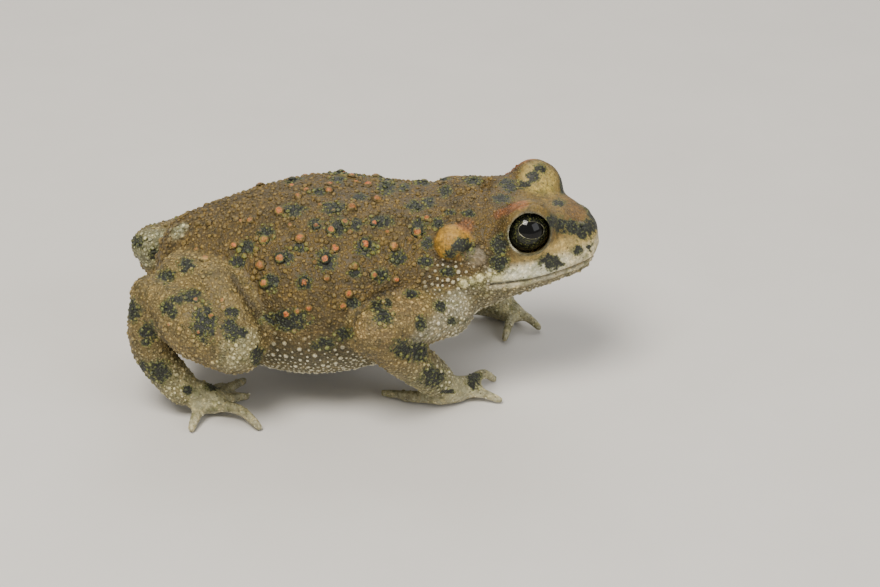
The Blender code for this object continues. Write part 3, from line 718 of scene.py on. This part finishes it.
def write_attributes(made, values):
    """Stores arrays as attributes of the mesh, colours as colours and the rest as numbers."""
    for name, array in values.items():
        if array.ndim == 2:
            attribute = made.data.attributes.new(name, "FLOAT_COLOR", "POINT")
            full = np.concatenate([array, np.ones((len(array), 1))], axis=1)
            attribute.data.foreach_set("color", full.ravel().astype(np.float32))
        else:
            attribute = made.data.attributes.new(name, "FLOAT", "POINT")
            attribute.data.foreach_set("value", array.astype(np.float32))


def dome_template(sides, levels):
    """A low dome of radius 1 that runs out softly at its foot: its points and its faces."""
    points, faces = [], []
    for reach, height in levels:
        for side in range(sides):
            turn = 2 * math.pi * side / sides
            points.append((reach * math.cos(turn), reach * math.sin(turn), height))
    top = len(points)
    points.append((0.0, 0.0, 1.0))
    for ring in range(len(levels) - 1):
        for side in range(sides):
            after = (side + 1) % sides
            low, high = ring * sides, (ring + 1) * sides
            faces.append((low + side, low + after, high + after, high + side))
    last = (len(levels) - 1) * sides
    for side in range(sides):
        faces.append((last + side, last + (side + 1) % sides, top))
    faces.append(tuple(reversed(range(sides))))
    return np.array(points), faces


def unwrapped(skin):
    """For each vertex of the skin its place on an unwrap of the skin's own shape."""
    flat = add_object("flat", skin.data.copy())
    select_only(flat)
    bpy.ops.object.mode_set(mode="EDIT")
    bpy.ops.mesh.select_all(action="SELECT")
    bpy.ops.uv.smart_project(angle_limit=math.radians(66), island_margin=0.002)
    bpy.ops.object.mode_set(mode="OBJECT")
    loops = len(flat.data.loops)
    where, corners = np.empty(loops * 2), np.empty(loops, dtype=np.int32)
    flat.data.uv_layers.active.data.foreach_get("uv", where)
    flat.data.loops.foreach_get("vertex_index", corners)
    spots = np.zeros((len(flat.data.vertices), 2))
    spots[corners] = where.reshape(-1, 2)
    bpy.data.objects.remove(flat, do_unlink=True)
    return spots


def domes(name, roots, template, values, unwrap):
    """One joined mesh of domes. A root is (vertex, place, normal, radius, height, turn)."""
    points, faces = template
    count = len(roots)
    vertices = np.array([root[0] for root in roots])
    places = np.array([root[1] for root in roots])
    ups = np.array([root[2] for root in roots])
    wide = np.array([root[3] for root in roots])[:, None, None]
    high = np.array([root[4] for root in roots])[:, None, None]
    turns = np.array([root[5] for root in roots])
    helper = np.where(np.abs(ups[:, :1]) < 0.8, (1.0, 0, 0), (0, 1.0, 0))
    first = np.cross(ups, helper)
    first /= np.linalg.norm(first, axis=1, keepdims=True)
    second = np.cross(ups, first)
    across = np.cos(turns)[:, None] * first + np.sin(turns)[:, None] * second
    along = np.cross(ups, across)
    all_points = (
        places[:, None, :]
        + across[:, None, :] * points[None, :, 0:1] * wide
        + along[:, None, :] * points[None, :, 1:2] * wide
        + ups[:, None, :] * points[None, :, 2:3] * high
    ).reshape(-1, 3)
    step = len(points)
    all_faces = [tuple(corner + step * one for corner in face) for one in range(count) for face in faces]
    mesh = bpy.data.meshes.new(name)
    mesh.from_pydata(all_points.tolist(), [], all_faces)
    made = add_object(name, mesh)
    copied = {key: np.repeat(value[vertices], step, axis=0) for key, value in values.items()}
    copied["height"] = np.tile(np.clip(points[:, 2], 0, 1), count)
    write_attributes(made, copied)
    flat = np.repeat(unwrap[vertices], step, axis=0) + np.tile(points[:, :2] * BAKE_PATCH, (count, 1))
    corners = np.empty(len(mesh.loops), dtype=np.int32)
    mesh.loops.foreach_get("vertex_index", corners)
    layer = mesh.uv_layers.new(name="OFBake")
    layer.data.foreach_set("uv", np.clip(flat[corners], 0.0005, 0.9995).ravel())
    mesh.shade_smooth()
    return made


def granule_kind(masks, index):
    """The part of the body that a vertex counts to, by the first mask that is strong enough there."""
    tests = (("foot", 0.35), ("limb", 0.35), ("crown", 0.5), ("head", 0.5), ("belly", 0.5), ("flank", 0.4))
    for name, least in (*tests, ("rump", 0.5)):
        if masks[name][index] > least:
            return "cheek" if name == "head" else name
    return "back"


def granule_roots(places, normals, masks, warts):
    """Granules all over the skin, each clear of its neighbours and of the warts."""
    draw = random.Random(17)
    order = np.random.default_rng(17).permutation(len(places))
    taken = {}
    roots = []
    wart_tree = point_tree([wart[0] for wart in warts])
    height_above = (places[:, 2] - SHIFT.z) / MM
    for index in order.tolist():
        place = places[index]
        if height_above[index] < 0.7 or masks["bare"][index] > 0.5:
            continue
        spacing, radius = GRANULES[granule_kind(masks, index)]
        spacing *= MM * draw.uniform(0.82, 1.3)
        key = tuple(int(value // GRANULE_CELL) for value in place)
        crowd = (
            other
            for dx in (-1, 0, 1)
            for dy in (-1, 0, 1)
            for dz in (-1, 0, 1)
            for other in taken.get((key[0] + dx, key[1] + dy, key[2] + dz), ())
        )
        if any(math.dist(place, other) < spacing for other in crowd):
            continue
        _, nearest, far = wart_tree.find(Vector(place))
        if far < warts[nearest][2] * 0.95:
            continue
        taken.setdefault(key, []).append(place)
        size = radius * MM * draw.choice((0.65, 0.8, 0.9, 1.0, 1.15, 1.6))
        height = size * draw.uniform(0.4, 0.7)
        roots.append((index, place, normals[index], size, height, draw.uniform(0, 6.3)))
    return roots


def mix_colour(tree, factor, first, second, blend="MIX"):
    """Mixes two colours, each a socket or three numbers, and returns the socket of the result."""
    mix = tree.nodes.new("ShaderNodeMix")
    mix.data_type = "RGBA"
    mix.blend_type = blend
    for socket, value in ((mix.inputs[0], factor), (mix.inputs[6], first), (mix.inputs[7], second)):
        if isinstance(value, bpy.types.NodeSocket):
            tree.links.new(value, socket)
        elif isinstance(value, tuple):
            socket.default_value = (*value, 1.0)
        else:
            socket.default_value = value
    return mix.outputs[2]


def toned(tree, colour, tone):
    return mix_colour(tree, 1.0, colour, tone, "MULTIPLY")


def new_material(name):
    """A material with nodes: itself, its node tree and its shader."""
    material = bpy.data.materials.new(name)
    material.use_nodes = True
    return material, material.node_tree, material.node_tree.nodes["Principled BSDF"]


def place_on_toad(tree):
    """The toad's own coordinates, as all its pieces sit at the origin."""
    return tree.nodes.new("ShaderNodeTexCoord").outputs["Object"]


def maths(tree, operation, first, second=None):
    made = tree.nodes.new("ShaderNodeMath")
    made.operation = operation
    for socket, value in zip(made.inputs, (first, second), strict=False):
        if isinstance(value, bpy.types.NodeSocket):
            tree.links.new(value, socket)
        elif value is not None:
            socket.default_value = value
    return made.outputs[0]


def times(tree, first, second):
    return maths(tree, "MULTIPLY", first, second)


def ragged(tree, value, strength):
    """Noise that swings about zero, to roughen an edge."""
    return times(tree, maths(tree, "SUBTRACT", value, 0.5), strength)


def noise(tree, scale, detail=3.0, roughness=0.6):
    """Noise over the toad's own coordinates, with its scale given per metre."""
    made = tree.nodes.new("ShaderNodeTexNoise")
    made.inputs["Scale"].default_value = scale
    made.inputs["Detail"].default_value = detail
    made.inputs["Roughness"].default_value = roughness
    tree.links.new(place_on_toad(tree), made.inputs["Vector"])
    return made.outputs["Fac"]


def step_up(tree, value, low, high):
    """Maps low to 0 and high to 1, smoothly."""
    made = tree.nodes.new("ShaderNodeMapRange")
    made.interpolation_type = "SMOOTHSTEP"
    made.inputs["From Min"].default_value = low
    made.inputs["From Max"].default_value = high
    tree.links.new(value, made.inputs["Value"])
    return made.outputs["Result"]


def attribute(tree, name, output):
    made = tree.nodes.new("ShaderNodeAttribute")
    made.attribute_name = name
    return made.outputs[output]


def skin_material():
    """Matt, pebbled skin: the tint, mottled, with green-black blotches and orange wart tips."""
    material, tree, shader = new_material("toad_skin")
    tint = attribute(tree, "tint", "Color")
    dark, tip, pale, plain, height = (
        attribute(tree, name, "Fac") for name in ("dark", "tip", "pale", "plain", "height")
    )
    rough_skin = maths(tree, "SUBTRACT", 1.0, times(tree, plain, 0.55))

    coarse = noise(tree, 420.0, 4.0)
    middle = noise(tree, 1500.0, 4.0, 0.65)
    fine = noise(tree, 5200.0, 3.0, 0.7)
    mottle = noise(tree, 900.0, 4.0, 0.6)
    grit = noise(tree, 2600.0, 2.0, 0.6)
    pebble = pebbles(tree, 3300.0)
    raised = step_up(tree, height, 0.05, 0.7)
    grain_top = maths(tree, "MAXIMUM", raised, times(tree, pebble, 0.62))
    top = maths(tree, "MAXIMUM", grain_top, times(tree, plain, 0.72))

    # The tint, mottled and grained, with pale granule tops and painted shade in the furrows between them
    light = toned(tree, tint, (1.50, 1.42, 1.25))
    shade = toned(tree, tint, (0.66, 0.68, 0.68))
    colour = mix_colour(tree, step_up(tree, coarse, 0.38, 0.64), shade, tint)
    colour = mix_colour(tree, step_up(tree, middle, 0.50, 0.70), colour, light)
    gritty = toned(tree, colour, (0.70, 0.68, 0.62))
    colour = mix_colour(tree, step_up(tree, grit, 0.46, 0.60), gritty, colour)
    mottled = toned(tree, colour, (0.62, 0.65, 0.52))
    colour = mix_colour(tree, step_up(tree, mottle, 0.52, 0.64), colour, mottled)
    pale_top = mix_colour(tree, step_up(tree, fine, 0.35, 0.6), (0.50, 0.46, 0.30), (0.76, 0.72, 0.54))
    colour = mix_colour(tree, times(tree, raised, pale), colour, pale_top)
    # Painted shade: the furrows between the grains and the feet of the domes are darkened
    furrow_shade = toned(tree, colour, (0.40, 0.38, 0.30))
    colour = mix_colour(tree, top, furrow_shade, colour)
    speckle = times(tree, step_up(tree, fine, 0.58, 0.68), 0.7)
    colour = mix_colour(tree, speckle, colour, (0.060, 0.055, 0.026))
    specks = times(tree, specks_of(tree, 1300.0), 0.8)
    colour = mix_colour(tree, specks, colour, (0.040, 0.036, 0.018))

    # The dark blotches, ragged by noise, with a mossy rim and green specks, and then the orange tips
    edge = maths(tree, "ADD", dark, ragged(tree, middle, 2.6))
    edge = maths(tree, "ADD", edge, ragged(tree, fine, 1.2))
    halo = step_up(tree, edge, -0.12, 0.12)
    mossy = mix_colour(tree, grain_top, (0.052, 0.058, 0.012), (0.200, 0.220, 0.032))
    colour = mix_colour(tree, times(tree, halo, 0.8), colour, mossy)
    core = step_up(tree, edge, 0.12, 0.32)
    black = mix_colour(tree, grain_top, (0.003, 0.004, 0.003), (0.034, 0.044, 0.025))
    lit = times(tree, step_up(tree, grit, 0.52, 0.62), grain_top)
    green = mix_colour(tree, lit, black, (0.150, 0.165, 0.032))
    colour = mix_colour(tree, times(tree, core, 0.96), colour, green)
    orange = mix_colour(tree, step_up(tree, fine, 0.4, 0.65), (0.40, 0.070, 0.010), (0.56, 0.175, 0.040))
    cap = maths(tree, "ADD", height, ragged(tree, grit, 1.6))
    capped = times(tree, tip, step_up(tree, cap, 0.58, 0.95))
    colour = mix_colour(tree, capped, colour, orange)
    tree.links.new(colour, shader.inputs["Base Color"])

    # Roughness and relief
    rough = tree.nodes.new("ShaderNodeMapRange")
    rough.inputs["To Min"].default_value = 0.42
    rough.inputs["To Max"].default_value = 0.72
    tree.links.new(middle, rough.inputs["Value"])
    tree.links.new(rough.outputs["Result"], shader.inputs["Roughness"])
    grain = times(tree, fine, 0.5)
    relief = maths(tree, "ADD", grain, times(tree, pebble, rough_skin))
    bump = tree.nodes.new("ShaderNodeBump")
    bump.inputs["Strength"].default_value = 0.9
    bump.inputs["Distance"].default_value = 0.11 * MM
    tree.links.new(relief, bump.inputs["Height"])
    tree.links.new(bump.outputs["Normal"], shader.inputs["Normal"])
    return material


def specks_of(tree, scale):
    """Small round dots, strewn loosely."""
    cells = tree.nodes.new("ShaderNodeTexVoronoi")
    cells.inputs["Scale"].default_value = scale
    tree.links.new(place_on_toad(tree), cells.inputs["Vector"])
    return maths(tree, "SUBTRACT", 1.0, step_up(tree, cells.outputs["Distance"], 0.10, 0.17))


def pebbles(tree, scale):
    """Rounded grains with furrows between them: 1 on the grains and 0 in the furrows."""
    cells = tree.nodes.new("ShaderNodeTexVoronoi")
    cells.feature = "SMOOTH_F1"
    cells.inputs["Scale"].default_value = scale
    cells.inputs["Smoothness"].default_value = 0.2
    cells.inputs["Randomness"].default_value = 0.95
    tree.links.new(place_on_toad(tree), cells.inputs["Vector"])
    return maths(tree, "SUBTRACT", 1.0, step_up(tree, cells.outputs["Distance"], 0.12, 0.62))


def eye_material(side):
    """A wet black eye: a wide pupil in a thin gold ring, and a dark iris with gold-green flecks."""
    material, tree, shader = new_material(f"toad_eye_{'left' if side > 0 else 'right'}")
    mapping = tree.nodes.new("ShaderNodeMapping")
    mapping.vector_type = "TEXTURE"
    mapping.inputs["Location"].default_value = head_place(EYE_CENTRE, side)
    mapping.inputs["Rotation"].default_value = eye_turn(side).to_euler()
    mapping.inputs["Scale"].default_value = (EYE_RADIUS,) * 3
    tree.links.new(place_on_toad(tree), mapping.inputs["Vector"])
    split = tree.nodes.new("ShaderNodeSeparateXYZ")
    tree.links.new(mapping.outputs["Vector"], split.inputs["Vector"])
    across, up = split.outputs["X"], split.outputs["Y"]
    squared = times(tree, up, up)
    wide = maths(tree, "POWER", maths(tree, "ABSOLUTE", maths(tree, "DIVIDE", across, PUPIL_HALF_WIDTH)), 2.0)
    high = maths(tree, "DIVIDE", squared, PUPIL_HALF_HEIGHT**2)
    pupil = maths(tree, "SQRT", maths(tree, "ADD", wide, high))
    radius = maths(tree, "SQRT", maths(tree, "ADD", times(tree, across, across), squared))
    flecks = step_up(tree, noise(tree, 3600.0, 5.0, 0.7), 0.50, 0.66)
    iris = mix_colour(tree, flecks, (0.007, 0.008, 0.006), (0.105, 0.110, 0.034))
    gold = maths(tree, "SUBTRACT", 1.0, step_up(tree, pupil, 1.01, 1.07))
    broken = maths(tree, "ADD", 0.12, step_up(tree, noise(tree, 800.0, 3.0), 0.44, 0.60))
    colour = mix_colour(tree, times(tree, gold, broken), iris, (0.66, 0.62, 0.44))
    colour = mix_colour(tree, step_up(tree, pupil, 0.98, 1.02), (0.003, 0.003, 0.003), colour)
    colour = mix_colour(tree, step_up(tree, radius, 0.80, 0.90), colour, (0.030, 0.032, 0.022))
    tree.links.new(colour, shader.inputs["Base Color"])
    shader.inputs["Roughness"].default_value = 0.04
    shader.inputs["IOR"].default_value = 1.34
    return material


def eye_turn(side):
    """The turn of an eye: its Z looks out through the pupil and its X lies nearly level."""
    gaze = turn_matrix(HEAD_TURN) @ on_side(PUPIL_GAZE, side).normalized()
    level = Vector((0, 0, 1)).cross(gaze).normalized()
    up = gaze.cross(level)
    across = level * math.cos(EYE_TILT * side) + up * math.sin(EYE_TILT * side)
    return Matrix((across, gaze.cross(across), gaze)).transposed()


def make_eye(side, material):
    """An eyeball with a slightly bulging cornea."""
    word = "left" if side > 0 else "right"
    bpy.ops.object.select_all(action="DESELECT")
    bpy.ops.mesh.primitive_uv_sphere_add(segments=64, ring_count=40, radius=EYE_RADIUS * 0.985)
    eye = bpy.context.active_object
    eye.name = f"eyeball_{word}"
    places, _ = mesh_arrays(eye)
    spread = np.hypot(places[:, 0], places[:, 1]) / EYE_RADIUS
    places[:, 2] += (places[:, 2] > 0) * (1 - ramp(spread, 0.25, 0.85)) * CORNEA_BULGE
    set_places(eye, places)
    eye.data.transform(Matrix.Translation(head_place(EYE_CENTRE, side)) @ eye_turn(side).to_4x4())
    eye.data.materials.append(material)
    eye.data.shade_smooth()
    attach(eye, "root")
    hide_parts(f"eye_{word}")


def set_warts(warts, places, values, unwrap):
    """The warts as one piece, with orange tips of varied strength, and cream ones at the jaw."""
    nearest = point_tree(places)
    roots = []
    draw = random.Random(23)
    tips = {key: value.copy() for key, value in values.items()}
    for place, normal, radius, cream in warts:
        index = nearest.find(place)[1]
        turn = draw.uniform(0, 6.3)
        roots.append((index, np.array(place), np.array(normal), radius, radius * WART_HEIGHT, turn))
        big = radius > 0.72 * LARGE_WART_RADIUS
        tips["tip"][index] = 0 if cream else draw.choice((0.45, 0.7, 0.95) if big else (0.15, 0.3, 0.5))
        if cream:
            tips["tint"][index] = WART_CREAM
            tips["pale"][index] = 0
    return domes("warts", roots, dome_template(WART_SIDES, WART_LEVELS), tips, unwrap)


def build_toad():
    """The skin, its warts and granules and the two eyes, each riding the root body."""
    skin = cast_skin()
    shape_body(skin)
    refine_head(skin)
    shape_face(skin)
    tree = surface(skin)
    values, masks = paint(skin, tree)
    places, normals = mesh_arrays(skin)
    bare = np.zeros(len(places))
    for side in (1, -1):
        eye = head_place(EYE_CENTRE, side)
        bare = np.maximum(bare, np.linalg.norm(places - np.array(eye), axis=1) < EYE_RADIUS * 1.22)
    masks["bare"] = np.maximum(bare, (masks["plain"] > 0.5) & (masks["foot"] < 0.3))
    material = skin_material()
    unwrap = unwrapped(skin)
    write_attributes(skin, values)
    skin.data.materials.clear()
    skin.data.materials.append(material)
    skin.data.shade_smooth()
    warts = wart_spots(tree)
    pieces = [set_warts(warts, places, values, unwrap)]
    roots = granule_roots(places, normals, masks, warts)
    template = dome_template(GRANULE_SIDES, GRANULE_LEVELS)
    most = COAT_LIMIT // sum(len(face) - 2 for face in template[1])
    for start in range(0, len(roots), most):
        name = f"granules_{start // most + 1}"
        pieces.append(domes(name, roots[start : start + most], template, values, unwrap))
    flesh = [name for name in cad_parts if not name.startswith("eye")]
    for piece in [skin, *pieces]:
        if piece is not skin:
            piece.data.materials.append(material)
        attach(piece, "root")
    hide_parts(*flesh)
    for side in (1, -1):
        make_eye(side, eye_material(side))


def floor_material():
    material, tree, shader = new_material("pale_floor")
    shade = mix_colour(tree, noise(tree, 60.0, 4.0), (0.60, 0.58, 0.55), (0.66, 0.64, 0.61))
    tree.links.new(shade, shader.inputs["Base Color"])
    shader.inputs["Roughness"].default_value = 0.85
    return material


def add_light(name, place, size, energy, colour):
    """A square soft light that faces the toad."""
    data = bpy.data.lights.new(name, "AREA")
    data.size = size
    data.energy = energy
    data.color = colour
    lamp = add_object(name, data)
    lamp.location = place
    lamp.rotation_euler = (Vector((0, 0, 0.01)) - Vector(place)).to_track_quat("-Z", "Y").to_euler()


def set_studio():
    """A pale floor, three soft lights, an even sky and the camera where the photograph's stood."""
    bpy.ops.object.select_all(action="DESELECT")
    bpy.ops.mesh.primitive_plane_add(size=4.0, location=(0, 0, 0))
    ground = bpy.context.active_object
    ground.name = "floor"
    ground.data.materials.append(floor_material())
    add_light("key", (-0.10, -0.22, 0.42), 0.20, 3.1, (1.0, 0.95, 0.86))
    add_light("fill", (0.45, -0.35, 0.30), 0.40, 1.3, (0.97, 0.98, 1.0))
    add_light("back", (0.05, 0.45, 0.35), 0.35, 1.3, (1.0, 0.97, 0.92))
    world = bpy.data.worlds.new("studio")
    world.use_nodes = True
    world.node_tree.nodes["Background"].inputs["Color"].default_value = (0.90, 0.89, 0.86, 1.0)
    world.node_tree.nodes["Background"].inputs["Strength"].default_value = 0.45
    bpy.context.scene.world = world
    data = bpy.data.cameras.new("camera")
    data.lens = LENS_MM
    data.sensor_width = SENSOR_MM
    data.clip_start = 0.01
    camera = add_object("camera", data)
    camera.location = camera_place
    camera.rotation_euler = (camera_aim - camera_place).to_track_quat("-Z", "Y").to_euler()
    bpy.context.scene.camera = camera


build_toad()
set_studio()
